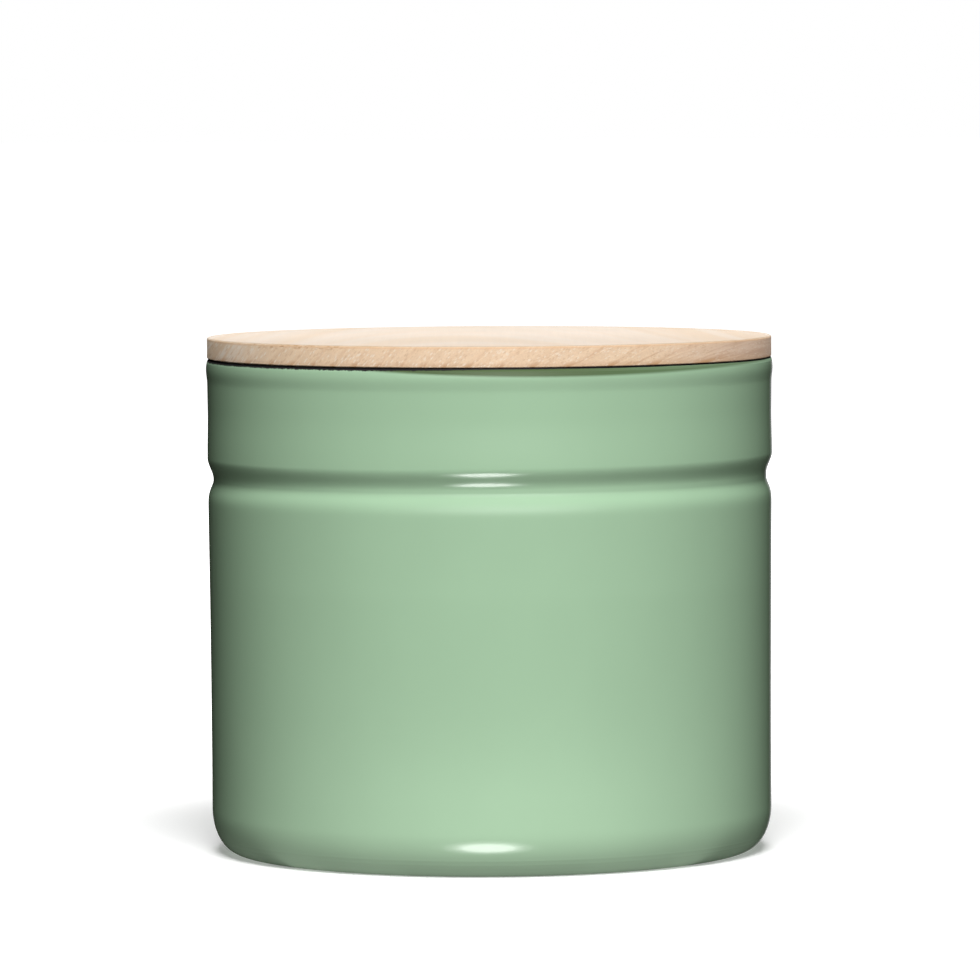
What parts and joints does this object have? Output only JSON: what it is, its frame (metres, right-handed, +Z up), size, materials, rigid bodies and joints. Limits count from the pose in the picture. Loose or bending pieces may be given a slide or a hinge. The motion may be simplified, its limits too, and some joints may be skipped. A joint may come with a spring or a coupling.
{
  "type": "coffee tin",
  "caption": "Round enamelled steel coffee tin with a pressed bead near the top and a push-in turned wooden lid sealed by a silicone ring.",
  "frame": {"origin": "centre of the foot, on the surface that the tin stands on", "axes": "+Z up along the axis of the tin, +X along the growth rings' long side and -Y towards the side that the lid's end grain faces"},
  "size_m": [0.1306, 0.1306, 0.1186],
  "materials": {
    "canister": "gloss vitreous enamel, pale green outside, white inside, black on the lip",
    "lid": "fine-sanded ash, matt oil",
    "lid_seal": "satin translucent white silicone"
  },
  "bodies": {
    "canister": {"canister": "canister"},
    "lid_seal": {"lid_seal": "lid_seal"},
    "lid": {"lid": "lid"}
  },
  "joints": [
    {"name": "lid_lift", "type": "slide", "parent": "canister", "child": "lid_seal", "axis": [0, 0, 1], "range_m": [0, 0.06]},
    {"name": "lid_turn", "type": "hinge", "parent": "lid_seal", "child": "lid", "pos_m": [0, 0, 0.114], "axis": [0, 0, 1], "continuous": true}
  ]
}
